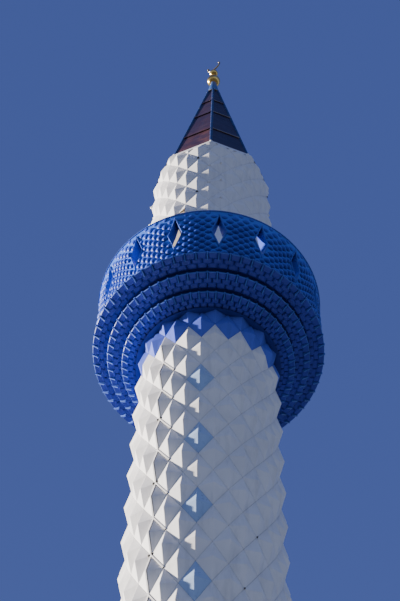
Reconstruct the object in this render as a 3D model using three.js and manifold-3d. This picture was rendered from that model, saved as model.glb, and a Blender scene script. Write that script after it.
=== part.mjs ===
// A tall round minaret with one balcony, clad in rows of raised diamond pyramids.
// Millimetres, +Z up. The origin is the centre of the base underside, and the entrance faces -Y.
import * as THREE from 'three';
import { mergeVertices } from 'three/addons/utils/BufferGeometryUtils.js';
import Module from 'manifold-3d';

const wasm = await Module();
wasm.setup();

// Driving dimensions of the diamond cladding
const COLUMNS = 32;
const ROW = 805;
const LEVEL = ROW / 2;
const UPPER_LEVEL = 378.5;
const NODE_RADIUS = 1100;
const APEX_RADIUS = 1195;
const UPPER_NODE_RADIUS = 1120;
const UPPER_APEX_RADIUS = 1182;
const LOWER_ROWS = 25;
const LIFT_ROWS = 5;
const FOOT_RING_START = 1;
const MIDDLE_RING_START = 6;
const HEAD_RING_START = 10;
const HEAD_RING_END = 20;

// Driving heights, from the ground up
const FLOOR_TOP = 150;
const PLINTH_TOP = 3800;
const BLUE_LINE = PLINTH_TOP + LOWER_ROWS * ROW;
const CORBEL_FOOT = BLUE_LINE + 352;
const CORBEL_ROWS = 5;
const CORBEL_BANDS = 3;
const CORBEL_ROW_HEIGHT = 110;
const CORBEL_ROW_REACH = 128;
const CORBEL_TOP = CORBEL_FOOT + CORBEL_ROWS * CORBEL_ROW_HEIGHT;
const SLAB_THICKNESS = 150;
const BALCONY_FLOOR = CORBEL_TOP + SLAB_THICKNESS;
const PARAPET_TOP = BLUE_LINE + 2400;
const COPING_HEIGHT = 60;
const UPPER_ORIGIN = BLUE_LINE + 385.5;
const EAVE = BLUE_LINE + 7335;
const NECK_FOOT = EAVE - 400;
const CAP_FOOT = BLUE_LINE + 12360;
const CAP_TOP = BLUE_LINE + 13060;
const BALL_CENTRE = BLUE_LINE + 13206;
const SMALL_BALL_CENTRE = BLUE_LINE + 13700;
const STEM_TOP = BLUE_LINE + 13925;

// Driving radii and thicknesses
const CORE_RADIUS = 1090;
const UPPER_CORE_RADIUS = 1110;
const NECK_RADIUS = 985;
const INNER_RADIUS = 890;
const PLINTH_HALF_WIDTH = 1380;
const BASE_HALF_WIDTH = 1440;
const COURSE_HEIGHT = 350;
const COURSE_BAND = 120;
const COURSE_OVERHANG = 45;
const COURSE_LEDGE = 12;
const CORBEL_FOOT_RADIUS = 1182;
const PARAPET_RADIUS = 1900;
const PARAPET_THICKNESS = 170;
const COPING_OVERHANG = 50;
const COPING_INSIDE = 10;
const PARAPET_LIP = 50;
const PARAPET_LIP_HEIGHT = 60;
const EAVE_RADIUS = 1040;
const SHOULDER_RADIUS = 1083;
const SHOULDER_SLOPE = 0.35;
const CAP_RADIUS = 140;
const CAP_TOP_RADIUS = 66;
const CAP_BEAD = 12;
const CAP_BEAD_HEIGHT = 40;
const SPIRE_WALL = 50;
const SOLID_TIP = 500;
const FLASHING_THICKNESS = 35;
const FLASHING_LIP = 8;
const FLASHING_HEIGHT = 60;
const BALL_RADIUS = 153;
const SMALL_BALL_RADIUS = 100;
const BALL_NECK_RADIUS = 32;
const FINIAL_FOOT_RADIUS = 60;
const STEM_RADIUS = 18;
const CRESCENT_RADIUS = 185;
const CRESCENT_HOLLOW_RADIUS = 172;
const CRESCENT_OFFSET = 26;
const CRESCENT_TIP_ANGLE = 22;
const CRESCENT_THICKNESS = 30;

// Turns about the axis, in degrees
const BALCONY_TURN = -2.5;
const SPIRE_TURN = -10.2;

// Openings
const LOZENGES = 16;
const LOZENGE_WIDTH = 185;
const LOZENGE_HEIGHT = 1000;
const LOZENGE_CENTRE = BLUE_LINE + 1770;
const PARAPET_PANELS = 8;
const ENTRANCE_WIDTH = 900;
const ENTRANCE_HEIGHT = 2150;
const BALCONY_DOOR_WIDTH = 540;
const BALCONY_DOOR_HEIGHT = 2000;
const CLADDING_CUT_WIDTH = 560;
const CLADDING_CUT_TOP = BLUE_LINE + 4430;
const ENTRANCE_RECESS = 160;
const FRAME_POST = 60;
const FRAME_DEPTH = 100;
const LEAF_THICKNESS = 50;
const BALCONY_RECESS = 70;
const BALCONY_FRAME_POST = 40;
const BALCONY_FRAME_DEPTH = 60;
const BALCONY_LEAF_THICKNESS = 40;
const LEAF_SETBACK = 10;
const LEAF_CLEARANCE = 5;
const PANEL_BORDER = 0.15;
const PANEL_DEPTH = 0.3;
const LOCK_RAIL = 0.42;

// Fits, and how finely round and octagonal pieces are drawn
const GAP = 0.3;
const OVERCUT = 10;
const REACH = 4000;
const RING_SIDES = 64;
const CAP_SIDES = 24;
const FINIAL_SIDES = 16;
const OCTAGON = 8;
const OCTAGON_FLAT = Math.cos(Math.PI / OCTAGON);
const PLINTH_TURN = 22.5;

// Colours
const WHITE = { color: 0xe9e8e4, roughness: 0.55, metalness: 0.0 };
const BLUE = { color: 0x17489c, roughness: 0.45, metalness: 0.0 };
const RENDER = { color: 0xd9d6cf, roughness: 0.9, metalness: 0.0 };
const CONCRETE = { color: 0xa9a59c, roughness: 0.95, metalness: 0.0 };
const TAN = { color: 0xb7a285, roughness: 0.8, metalness: 0.0 };
const SPIRE_SHEET = { color: 0x2a2638, roughness: 0.4, metalness: 0.5 };
const CAP_SHEET = { color: 0x1d3a78, roughness: 0.35, metalness: 0.4 };
const GOLD = { color: 0xd8a83a, roughness: 0.2, metalness: 1.0 };
const DOOR_PAINT = { color: 0x5b4632, roughness: 0.6, metalness: 0.0 };

const radians = THREE.MathUtils.degToRad;

// Small helpers for solids

function toSolid(geometry) {
  const bare = geometry.index ? geometry.clone() : geometry;
  for (const name of ['normal', 'uv']) {
    bare.deleteAttribute(name);
  }
  const merged = mergeVertices(bare, 1e-3);
  return new wasm.Manifold(new wasm.Mesh({
    numProp: 3,
    vertProperties: new Float32Array(merged.attributes.position.array),
    triVerts: new Uint32Array(merged.index.array),
  }));
}

function toGeometry(solid) {
  const mesh = solid.getMesh();
  const geometry = new THREE.BufferGeometry();
  geometry.setAttribute('position', new THREE.BufferAttribute(mesh.vertProperties, 3));
  geometry.setIndex(new THREE.BufferAttribute(mesh.triVerts, 1));
  geometry.computeVertexNormals();
  return geometry;
}

function polygon(radius, sides, turn) {
  const points = [];
  for (let i = 0; i < sides; i += 1) {
    const angle = radians(turn) + (2 * Math.PI * i) / sides;
    points.push(new THREE.Vector2(radius * Math.cos(angle), radius * Math.sin(angle)));
  }
  return points;
}

function prism(points, bottom, top, hole = null) {
  const shape = new THREE.Shape(points);
  if (hole) {
    shape.holes.push(new THREE.Path(hole));
  }
  const geometry = new THREE.ExtrudeGeometry(shape, { depth: top - bottom, bevelEnabled: false });
  geometry.translate(0, 0, bottom);
  return geometry;
}

function tube(outer, inner, sides, bottom, top, turn = 0) {
  return prism(polygon(outer, sides, turn), bottom, top, polygon(inner, sides, turn));
}

function block(low, high) {
  const geometry = new THREE.BoxGeometry(high[0] - low[0], high[1] - low[1], high[2] - low[2]);
  geometry.translate((low[0] + high[0]) / 2, (low[1] + high[1]) / 2, (low[2] + high[2]) / 2);
  return geometry;
}

// A closed solid between stacked rings of equal point counts, or up to a single point on the axis
function loft(rings) {
  const sides = rings[0].length;
  const positions = [];
  for (const ring of rings) {
    for (const point of ring) {
      positions.push(...point);
    }
  }
  const index = [];
  for (let level = 0; level < rings.length - 1; level += 1) {
    const below = level * sides;
    const above = below + sides;
    for (let i = 0; i < sides; i += 1) {
      const next = (i + 1) % sides;
      index.push(below + i, below + next, above + next);
      index.push(below + i, above + next, above + i);
    }
  }
  const last = (rings.length - 1) * sides;
  for (let i = 1; i < sides - 1; i += 1) {
    index.push(0, i + 1, i);
    index.push(last, last + i, last + i + 1);
  }
  const geometry = new THREE.BufferGeometry();
  geometry.setAttribute('position', new THREE.Float32BufferAttribute(positions, 3));
  geometry.setIndex(index);
  return geometry;
}

// A solid of revolution about the tower axis, from radius and height pairs
function turned(profile, sides) {
  const points = profile.map(([radius, height]) => new THREE.Vector2(radius, height));
  const geometry = new THREE.LatheGeometry(points, sides);
  geometry.rotateX(Math.PI / 2);
  return geometry;
}

function ringAt(radius, sides, turn, height) {
  return polygon(radius, sides, turn).map((point) => [point.x, point.y, height]);
}

// The diamond cladding. Levels are half rows counted from the lattice's origin height, and a node
// stands where column plus level is even. The other grid points are raised apexes.

const LOWER_LATTICE = {
  origin: BLUE_LINE,
  level: LEVEL,
  nodeRadius: NODE_RADIUS,
  apexRadius: APEX_RADIUS,
  innerRadius: CORE_RADIUS + GAP,
};
const UPPER_LATTICE = {
  origin: UPPER_ORIGIN,
  level: UPPER_LEVEL,
  nodeRadius: UPPER_NODE_RADIUS,
  apexRadius: UPPER_APEX_RADIUS,
  innerRadius: NECK_RADIUS + GAP,
};

function isNode(column, level) {
  return (column + level) % 2 === 0;
}

function latticePoint(lattice, column, level, shift) {
  const angle = (2 * Math.PI * column) / COLUMNS;
  const radius = isNode(column, level) ? lattice.nodeRadius : lattice.apexRadius;
  const height = lattice.origin + level * lattice.level + shift;
  return [radius * Math.cos(angle), radius * Math.sin(angle), height];
}

// A ring of cladding between two levels. A zigzag edge follows the valleys from node to node, so
// its odd columns end one level lower than its even ones.
function claddingRing(lattice, from, to, zigzagFrom, zigzagTo) {
  const positions = [];
  const index = [];
  const outer = [];
  const inner = [];
  const addPoint = (point) => {
    positions.push(...point);
    return positions.length / 3 - 1;
  };
  for (let column = 0; column < COLUMNS; column += 1) {
    const odd = column % 2 === 1;
    const first = zigzagFrom && odd ? from - 1 : from;
    const last = zigzagTo && odd ? to - 1 : to;
    const angle = (2 * Math.PI * column) / COLUMNS;
    const levels = new Map();
    for (let level = first; level <= last; level += 1) {
      const shift = level === last ? -GAP : 0;
      levels.set(level, addPoint(latticePoint(lattice, column, level, shift)));
    }
    outer.push({ first, last, levels });
    const x = lattice.innerRadius * Math.cos(angle);
    const y = lattice.innerRadius * Math.sin(angle);
    inner.push({
      foot: addPoint([x, y, lattice.origin + first * lattice.level]),
      head: addPoint([x, y, lattice.origin + last * lattice.level - GAP]),
    });
  }
  for (let column = 0; column < COLUMNS; column += 1) {
    const next = (column + 1) % COLUMNS;
    const left = outer[column];
    const right = outer[next];
    const lowest = Math.min(left.first, right.first);
    const highest = Math.max(left.last, right.last);
    for (let level = lowest; level < highest; level += 1) {
      const a = left.levels.get(level);
      const b = right.levels.get(level);
      const c = right.levels.get(level + 1);
      const d = left.levels.get(level + 1);
      const triangles = isNode(column, level) ? [[a, b, c], [a, c, d]] : [[a, b, d], [b, c, d]];
      for (const triangle of triangles) {
        if (triangle.every((corner) => corner !== undefined)) {
          index.push(...triangle);
        }
      }
    }
    const nearFoot = inner[column].foot;
    const farFoot = inner[next].foot;
    const nearHead = inner[column].head;
    const farHead = inner[next].head;
    index.push(nearFoot, nearHead, farHead, nearFoot, farHead, farFoot);
    const leftFoot = left.levels.get(left.first);
    const rightFoot = right.levels.get(right.first);
    const leftHead = left.levels.get(left.last);
    const rightHead = right.levels.get(right.last);
    index.push(leftFoot, nearFoot, farFoot, leftFoot, farFoot, rightFoot);
    index.push(leftHead, farHead, nearHead, leftHead, rightHead, farHead);
  }
  const geometry = new THREE.BufferGeometry();
  geometry.setAttribute('position', new THREE.Float32BufferAttribute(positions, 3));
  geometry.setIndex(index);
  return geometry;
}

// The upper rings start at the core's narrow neck, and the room for its wide part is cut out of them
function upperCladding(from, to, zigzagFrom, zigzagTo) {
  const ring = toSolid(claddingRing(UPPER_LATTICE, from, to, zigzagFrom, zigzagTo));
  const coreRoom = toSolid(prism(polygon(UPPER_CORE_RADIUS + GAP, COLUMNS, 0), 0, NECK_FOOT + GAP));
  return ring.subtract(coreRoom).subtract(claddingCut());
}

// Radius of the spire's corners at a height, drawn down past the eave on the same slope
function spireRadius(height) {
  const slope = (EAVE_RADIUS - CAP_RADIUS) / (CAP_FOOT - EAVE);
  return EAVE_RADIUS + slope * (EAVE - height);
}

// The plinth

function baseSlab() {
  return prism(polygon(BASE_HALF_WIDTH / OCTAGON_FLAT, OCTAGON, PLINTH_TURN), 0, FLOOR_TOP);
}

function plinthWalls() {
  const outline = polygon(PLINTH_HALF_WIDTH / OCTAGON_FLAT, OCTAGON, PLINTH_TURN);
  const bore = polygon(INNER_RADIUS, COLUMNS, 0);
  const wall = toSolid(prism(outline, FLOOR_TOP + GAP, PLINTH_TOP - COURSE_HEIGHT, bore));
  const half = ENTRANCE_WIDTH / 2;
  const head = FLOOR_TOP + ENTRANCE_HEIGHT;
  const doorway = toSolid(block([-half, -REACH, 0], [half, 0, head]));
  const opened = wall.subtract(doorway);
  const leftBox = toSolid(block([-REACH, -REACH, 0], [-half, -GAP, PLINTH_TOP]));
  const rightBox = toSolid(block([half, -REACH, 0], [REACH, -GAP, PLINTH_TOP]));
  const lintelBox = toSolid(block([-half + GAP, -REACH, head], [half - GAP, -GAP, PLINTH_TOP]));
  const backBox = toSolid(block([-REACH, 0, 0], [REACH, REACH, PLINTH_TOP]));
  return {
    plinth_wall_left: toGeometry(opened.intersect(leftBox)),
    plinth_wall_right: toGeometry(opened.intersect(rightBox)),
    plinth_lintel: toGeometry(opened.intersect(lintelBox)),
    plinth_wall_back: toGeometry(opened.intersect(backBox)),
  };
}

// The sloped stone course that carries the octagon over to the round shaft
function plinthCourse() {
  const wide = PLINTH_HALF_WIDTH / OCTAGON_FLAT + COURSE_OVERHANG;
  const narrow = (APEX_RADIUS + COURSE_LEDGE) / OCTAGON_FLAT;
  const foot = PLINTH_TOP - COURSE_HEIGHT + GAP;
  const solid = toSolid(loft([
    ringAt(wide, OCTAGON, PLINTH_TURN, foot),
    ringAt(wide, OCTAGON, PLINTH_TURN, foot + COURSE_BAND),
    ringAt(narrow, OCTAGON, PLINTH_TURN, PLINTH_TOP - GAP),
  ]));
  const bore = toSolid(prism(polygon(INNER_RADIUS, COLUMNS, 0), 0, REACH));
  return toGeometry(solid.subtract(bore));
}

// A frame of two posts and a head, standing on the floor, with its face towards -Y
function doorFrame({ width, floor, head, front, depth, post }) {
  const half = width / 2 - GAP;
  const outside = toSolid(block([-half, front, floor + GAP], [half, front + depth, head - GAP]));
  const inside = toSolid(block(
    [-half + post, front - OVERCUT, floor - OVERCUT],
    [half - post, front + depth + OVERCUT, head - post],
  ));
  return toGeometry(outside.subtract(inside));
}

// A door leaf with two sunk panels on its outer face
function doorLeaf({ width, floor, head, front, post, leafThickness }) {
  const half = width / 2 - post - 2 * GAP;
  const bottom = floor + LEAF_CLEARANCE;
  const top = head - post - GAP;
  const face = front + LEAF_SETBACK;
  const leaf = toSolid(block([-half, face, bottom], [half, face + leafThickness, top]));
  const border = width * PANEL_BORDER;
  const middle = bottom + (top - bottom) * LOCK_RAIL;
  const depth = leafThickness * PANEL_DEPTH;
  const lower = toSolid(block(
    [-half + border, face - OVERCUT, bottom + border],
    [half - border, face + depth, middle - border / 2],
  ));
  const upper = toSolid(block(
    [-half + border, face - OVERCUT, middle + border / 2],
    [half - border, face + depth, top - border],
  ));
  return toGeometry(leaf.subtract(lower).subtract(upper));
}

// The structural core

function lowerCore() {
  return tube(CORE_RADIUS, INNER_RADIUS, COLUMNS, PLINTH_TOP, CORBEL_TOP);
}

function upperCore() {
  const bottom = BALCONY_FLOOR + GAP;
  const outside = toSolid(prism(polygon(UPPER_CORE_RADIUS, COLUMNS, 0), bottom, NECK_FOOT));
  const neck = toSolid(prism(polygon(NECK_RADIUS, COLUMNS, 0), NECK_FOOT, EAVE));
  const bore = toSolid(prism(polygon(INNER_RADIUS, COLUMNS, 0), 0, EAVE + OVERCUT));
  const shell = outside.add(neck).subtract(bore);
  const half = BALCONY_DOOR_WIDTH / 2;
  const doorway = toSolid(block(
    [-half, -REACH, CORBEL_TOP],
    [half, 0, BALCONY_FLOOR + BALCONY_DOOR_HEIGHT],
  ));
  return toGeometry(shell.subtract(doorway));
}

// The cladding that stops under the corbel, blue above the zigzag line
function blueCladding() {
  const ring = toSolid(claddingRing(LOWER_LATTICE, 0, 1, true, false));
  const below = toSolid(block([-REACH, -REACH, 0], [REACH, REACH, CORBEL_FOOT - GAP]));
  return toGeometry(ring.intersect(below));
}

// The tall notch in the cladding over the balcony door
function claddingCut() {
  const half = CLADDING_CUT_WIDTH / 2;
  return toSolid(block([-half, -REACH, CORBEL_TOP], [half, 0, CLADDING_CUT_TOP]));
}

function upperCladdingFoot() {
  const ring = upperCladding(FOOT_RING_START, MIDDLE_RING_START, false, true);
  const above = toSolid(block([-REACH, -REACH, BALCONY_FLOOR + GAP], [REACH, REACH, EAVE]));
  return toGeometry(ring.intersect(above));
}

function upperCladdingMiddle() {
  return toGeometry(upperCladding(MIDDLE_RING_START, HEAD_RING_START, true, true));
}

// The top ring is cut to eight sloping shoulders, which lead up to the eight faces of the spire
function upperCladdingHead() {
  const ring = upperCladding(HEAD_RING_START, HEAD_RING_END, true, false);
  const low = UPPER_ORIGIN + (HEAD_RING_START - 2) * UPPER_LEVEL;
  const lowRadius = SHOULDER_RADIUS + SHOULDER_SLOPE * (EAVE - low);
  const envelope = toSolid(loft([
    ringAt(lowRadius, OCTAGON, SPIRE_TURN, low),
    ringAt(SHOULDER_RADIUS, OCTAGON, SPIRE_TURN, EAVE),
  ]));
  return toGeometry(ring.intersect(envelope));
}

// The balcony

// A band of two corbel rows, the upper one reaching out further. The top band is a single row,
// because the foot of the parapet is the last step.
function corbelBand(band) {
  const firstRow = band * 2;
  const foot = CORBEL_FOOT + firstRow * CORBEL_ROW_HEIGHT;
  const step = foot + CORBEL_ROW_HEIGHT;
  const head = Math.min(step + CORBEL_ROW_HEIGHT, CORBEL_TOP) - GAP;
  const under = CORBEL_FOOT_RADIUS + (firstRow + 1) * CORBEL_ROW_REACH;
  const over = under + CORBEL_ROW_REACH;
  const lower = [[under, foot], [under, Math.min(step, head)]];
  const upper = head > step ? [[over, step], [over, head]] : [];
  const steps = [...lower, ...upper];
  return turned([
    [CORE_RADIUS + GAP, foot],
    ...steps,
    [CORE_RADIUS + GAP, head],
    [CORE_RADIUS + GAP, foot],
  ], RING_SIDES);
}

function balconySlab() {
  const outline = polygon(PARAPET_RADIUS - PARAPET_THICKNESS - GAP, RING_SIDES, BALCONY_TURN);
  const stairwell = polygon(INNER_RADIUS, COLUMNS, 0);
  return prism(outline, CORBEL_TOP + GAP, BALCONY_FLOOR, stairwell);
}

function lozengeCutter(azimuth) {
  const half = LOZENGE_WIDTH / 2;
  const rise = LOZENGE_HEIGHT / 2;
  const outline = [
    new THREE.Vector2(half, 0),
    new THREE.Vector2(0, rise),
    new THREE.Vector2(-half, 0),
    new THREE.Vector2(0, -rise),
  ];
  const depth = 3 * PARAPET_THICKNESS;
  const geometry = new THREE.ExtrudeGeometry(new THREE.Shape(outline), { depth, bevelEnabled: false });
  geometry.translate(0, 0, PARAPET_RADIUS - 2 * PARAPET_THICKNESS);
  geometry.rotateX(Math.PI / 2);
  geometry.rotateZ(radians(azimuth + 90));
  geometry.translate(0, 0, LOZENGE_CENTRE);
  return toSolid(geometry);
}

// The plan of one eighth of the parapet, out to a given radius
function panelPlan(number, radius) {
  const sweep = 360 / PARAPET_PANELS;
  const segments = RING_SIDES / PARAPET_PANELS;
  const start = BALCONY_TURN + (number - 0.25) * sweep;
  const within = PARAPET_RADIUS - PARAPET_THICKNESS;
  const trim = THREE.MathUtils.radToDeg(GAP / within);
  const outer = [];
  const inner = [];
  for (let i = 0; i <= segments; i += 1) {
    const angle = radians(start + (sweep * i) / segments - (i === segments ? trim : 0));
    outer.push(new THREE.Vector2(radius * Math.cos(angle), radius * Math.sin(angle)));
    inner.unshift(new THREE.Vector2(within * Math.cos(angle), within * Math.sin(angle)));
  }
  return [...outer, ...inner];
}

// One eighth of the parapet, with a projecting foot and two lozenge openings
function parapetPanel(number) {
  const foot = CORBEL_TOP + GAP;
  const head = PARAPET_TOP - COPING_HEIGHT - GAP;
  const wall = toSolid(prism(panelPlan(number, PARAPET_RADIUS), foot, head));
  const lipPlan = panelPlan(number, PARAPET_RADIUS + PARAPET_LIP);
  const lip = toSolid(prism(lipPlan, foot, foot + PARAPET_LIP_HEIGHT));
  const pitch = 360 / LOZENGES;
  const first = BALCONY_TURN + 2 * number * pitch;
  return toGeometry(wall.add(lip).subtract(lozengeCutter(first)).subtract(lozengeCutter(first + pitch)));
}

function parapetCoping() {
  const outer = PARAPET_RADIUS + COPING_OVERHANG;
  const inner = PARAPET_RADIUS - PARAPET_THICKNESS - COPING_INSIDE;
  return tube(outer, inner, RING_SIDES, PARAPET_TOP - COPING_HEIGHT, PARAPET_TOP, BALCONY_TURN);
}

// The spire

function spireShell() {
  const outside = toSolid(loft([
    ringAt(EAVE_RADIUS, OCTAGON, SPIRE_TURN, EAVE + GAP),
    ringAt(CAP_RADIUS, OCTAGON, SPIRE_TURN, CAP_FOOT),
  ]));
  const hollowTop = CAP_FOOT - SOLID_TIP;
  const inside = toSolid(loft([
    ringAt(EAVE_RADIUS - SPIRE_WALL, OCTAGON, SPIRE_TURN, EAVE - OVERCUT),
    ringAt(spireRadius(hollowTop) - SPIRE_WALL, OCTAGON, SPIRE_TURN, hollowTop),
  ]));
  return toGeometry(outside.subtract(inside));
}

// The strip that closes the joint between the cladding and the spire
function eaveFlashing() {
  const top = EAVE + FLASHING_HEIGHT;
  const play = 2 * GAP;
  const below = EAVE - OVERCUT;
  const above = top + OVERCUT;
  const outside = toSolid(loft([
    ringAt(spireRadius(EAVE) + FLASHING_THICKNESS, OCTAGON, SPIRE_TURN, EAVE + GAP),
    ringAt(spireRadius(top) + FLASHING_LIP, OCTAGON, SPIRE_TURN, top),
  ]));
  const inside = toSolid(loft([
    ringAt(spireRadius(below) + play, OCTAGON, SPIRE_TURN, below),
    ringAt(spireRadius(above) + play, OCTAGON, SPIRE_TURN, above),
  ]));
  return toGeometry(outside.subtract(inside));
}

function spireCap() {
  return turned([
    [0, CAP_FOOT + GAP],
    [CAP_RADIUS + CAP_BEAD, CAP_FOOT + GAP],
    [CAP_RADIUS, CAP_FOOT + CAP_BEAD_HEIGHT],
    [CAP_TOP_RADIUS, CAP_TOP],
    [0, CAP_TOP],
  ], CAP_SIDES);
}

// Points of a ball's profile between two slopes
function ballProfile(radius, centre, from, to) {
  const steps = 6;
  const points = [];
  for (let i = 0; i <= steps; i += 1) {
    const angle = THREE.MathUtils.lerp(from, to, i / steps);
    points.push([radius * Math.cos(angle), centre + radius * Math.sin(angle)]);
  }
  return points;
}

// A foot, a large ball, a neck, a small ball and a stem
function finialStem() {
  const foot = Math.acos(FINIAL_FOOT_RADIUS / BALL_RADIUS);
  const neck = Math.acos(BALL_NECK_RADIUS / BALL_RADIUS);
  const smallNeck = Math.acos(BALL_NECK_RADIUS / SMALL_BALL_RADIUS);
  const shoulder = SMALL_BALL_CENTRE + SMALL_BALL_RADIUS + STEM_RADIUS;
  return turned([
    [0, CAP_TOP + GAP],
    [FINIAL_FOOT_RADIUS, CAP_TOP + GAP],
    ...ballProfile(BALL_RADIUS, BALL_CENTRE, -foot, neck),
    ...ballProfile(SMALL_BALL_RADIUS, SMALL_BALL_CENTRE, -smallNeck, smallNeck),
    [STEM_RADIUS, shoulder],
    [STEM_RADIUS, STEM_TOP],
    [0, STEM_TOP],
  ], FINIAL_SIDES);
}

// A slender crescent in the plane of the entrance front, open upwards
function crescent() {
  const steps = 14;
  const tip = radians(CRESCENT_TIP_ANGLE);
  const outline = [];
  for (let i = 0; i <= steps; i += 1) {
    const angle = THREE.MathUtils.lerp(Math.PI - tip, 2 * Math.PI + tip, i / steps);
    outline.push(new THREE.Vector2(CRESCENT_RADIUS * Math.cos(angle), CRESCENT_RADIUS * Math.sin(angle)));
  }
  const first = outline[0];
  const last = outline[steps];
  const tipReach = Math.hypot(last.x, last.y - CRESCENT_OFFSET);
  const from = Math.atan2(last.y - CRESCENT_OFFSET, last.x);
  const to = Math.atan2(first.y - CRESCENT_OFFSET, first.x) - 2 * Math.PI;
  for (let i = 1; i < steps; i += 1) {
    const angle = THREE.MathUtils.lerp(from, to, i / steps);
    const reach = THREE.MathUtils.lerp(tipReach, CRESCENT_HOLLOW_RADIUS, Math.sin((Math.PI * i) / steps));
    outline.push(new THREE.Vector2(reach * Math.cos(angle), CRESCENT_OFFSET + reach * Math.sin(angle)));
  }
  const depth = CRESCENT_THICKNESS;
  const geometry = new THREE.ExtrudeGeometry(new THREE.Shape(outline), { depth, bevelEnabled: false });
  geometry.translate(0, 0, -depth / 2);
  geometry.rotateX(Math.PI / 2);
  geometry.translate(0, 0, STEM_TOP + GAP + CRESCENT_RADIUS);
  return geometry;
}

// Assembly

const minaret = new THREE.Group();

function addPiece(name, geometry, finish) {
  const mesh = new THREE.Mesh(geometry, new THREE.MeshStandardMaterial(finish));
  mesh.name = name;
  minaret.add(mesh);
  return mesh;
}

addPiece('base_slab', baseSlab(), CONCRETE);
for (const [name, geometry] of Object.entries(plinthWalls())) {
  addPiece(name, geometry, RENDER);
}
addPiece('plinth_course', plinthCourse(), RENDER);

const entrance = {
  width: ENTRANCE_WIDTH,
  floor: FLOOR_TOP,
  head: FLOOR_TOP + ENTRANCE_HEIGHT,
  front: -PLINTH_HALF_WIDTH + ENTRANCE_RECESS,
  depth: FRAME_DEPTH,
  post: FRAME_POST,
  leafThickness: LEAF_THICKNESS,
};
addPiece('entrance_frame', doorFrame(entrance), DOOR_PAINT);
addPiece('entrance_door', doorLeaf(entrance), DOOR_PAINT);

addPiece('shaft_core', lowerCore(), CONCRETE);
const lifts = LOWER_ROWS / LIFT_ROWS;
for (let lift = 0; lift < lifts; lift += 1) {
  const from = -2 * LOWER_ROWS + 2 * LIFT_ROWS * lift;
  const geometry = claddingRing(LOWER_LATTICE, from, from + 2 * LIFT_ROWS, lift > 0, true);
  addPiece(`shaft_cladding_${lift + 1}`, geometry, WHITE);
}
addPiece('blue_cladding', blueCladding(), BLUE);

for (let band = 0; band < CORBEL_BANDS; band += 1) {
  addPiece(`corbel_band_${band + 1}`, corbelBand(band), BLUE);
}
addPiece('balcony_slab', balconySlab(), CONCRETE);
for (let number = 0; number < PARAPET_PANELS; number += 1) {
  addPiece(`parapet_panel_${number + 1}`, parapetPanel(number), BLUE);
}
addPiece('parapet_coping', parapetCoping(), BLUE);

addPiece('upper_core', upperCore(), TAN);
addPiece('upper_cladding_foot', upperCladdingFoot(), WHITE);
addPiece('upper_cladding_middle', upperCladdingMiddle(), WHITE);
addPiece('upper_cladding_head', upperCladdingHead(), WHITE);

const balconyDoor = {
  width: BALCONY_DOOR_WIDTH,
  floor: BALCONY_FLOOR,
  head: BALCONY_FLOOR + BALCONY_DOOR_HEIGHT,
  front: -UPPER_CORE_RADIUS + BALCONY_RECESS,
  depth: BALCONY_FRAME_DEPTH,
  post: BALCONY_FRAME_POST,
  leafThickness: BALCONY_LEAF_THICKNESS,
};
addPiece('balcony_door_frame', doorFrame(balconyDoor), DOOR_PAINT);
addPiece('balcony_door', doorLeaf(balconyDoor), DOOR_PAINT);

addPiece('spire_shell', spireShell(), SPIRE_SHEET);
addPiece('eave_flashing', eaveFlashing(), TAN);
addPiece('spire_cap', spireCap(), CAP_SHEET);
addPiece('finial_stem', finialStem(), GOLD);
addPiece('crescent', crescent(), GOLD);

export default minaret;
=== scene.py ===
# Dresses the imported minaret: folded cladding, corbels, parapet relief, spire, finial, doors and studio.
import math
import random

import bmesh
import bpy
from mathutils import Matrix, Vector


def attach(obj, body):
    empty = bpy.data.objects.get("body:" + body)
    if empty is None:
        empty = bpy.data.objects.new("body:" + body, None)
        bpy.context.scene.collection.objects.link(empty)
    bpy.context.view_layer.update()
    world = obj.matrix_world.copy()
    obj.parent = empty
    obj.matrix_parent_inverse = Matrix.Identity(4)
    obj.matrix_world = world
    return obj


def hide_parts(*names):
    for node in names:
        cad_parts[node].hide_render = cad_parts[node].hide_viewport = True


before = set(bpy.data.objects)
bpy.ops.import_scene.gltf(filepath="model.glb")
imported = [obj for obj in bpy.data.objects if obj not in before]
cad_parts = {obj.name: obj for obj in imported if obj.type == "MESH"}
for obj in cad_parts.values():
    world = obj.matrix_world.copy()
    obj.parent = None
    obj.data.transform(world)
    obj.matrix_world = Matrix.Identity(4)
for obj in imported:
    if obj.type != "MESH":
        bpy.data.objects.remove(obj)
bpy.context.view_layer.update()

# Sizes in metres. They follow the part's source, with small shifts towards the photograph in the
# cladding's turns and points, the spire's turn, the lozenges' centre and the doorway's head.
COLUMNS = 32
BLUE_LINE = 23.925
LOWER = {"origin": BLUE_LINE, "level": 0.4025, "node": 1.100, "apex": 1.190, "turn": -1.6}
UPPER = {"origin": BLUE_LINE + 0.3855, "level": 0.3785, "node": 1.120, "apex": 1.182, "turn": 1.8}
PLINTH_TOP = 3.800
CORBEL_FOOT = BLUE_LINE + 0.352
CORE_RADIUS = 1.090
BALCONY_FLOOR = BLUE_LINE + 1.052
BALCONY_TURN = -2.5
PARAPET_TOP = BLUE_LINE + 2.400
LOZENGES = 16
LOZENGE_CENTRE = BLUE_LINE + 1.735
DOORWAY_HALF_WIDTH = 0.280
DOORWAY_HEAD = BLUE_LINE + 4.300
EAVE = BLUE_LINE + 7.335
EAVE_RADIUS = 1.040
SHOULDER_RADIUS = 1.083
SHOULDER_SLOPE = 0.35
SPIRE_FACES = 8
SPIRE_TURN = -8.4
CAP_FOOT = BLUE_LINE + 12.360
CAP_TOP = BLUE_LINE + 13.060
CAP_RADIUS = 0.140
CAP_TOP_RADIUS = 0.066
BALL_CENTRE = BLUE_LINE + 13.206
BALL_RADIUS = 0.153
SMALL_BALL_CENTRE = BLUE_LINE + 13.700
SMALL_BALL_RADIUS = 0.100
BALL_NECK_RADIUS = 0.032
FINIAL_FOOT_RADIUS = 0.060
STEM_RADIUS = 0.018
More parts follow.
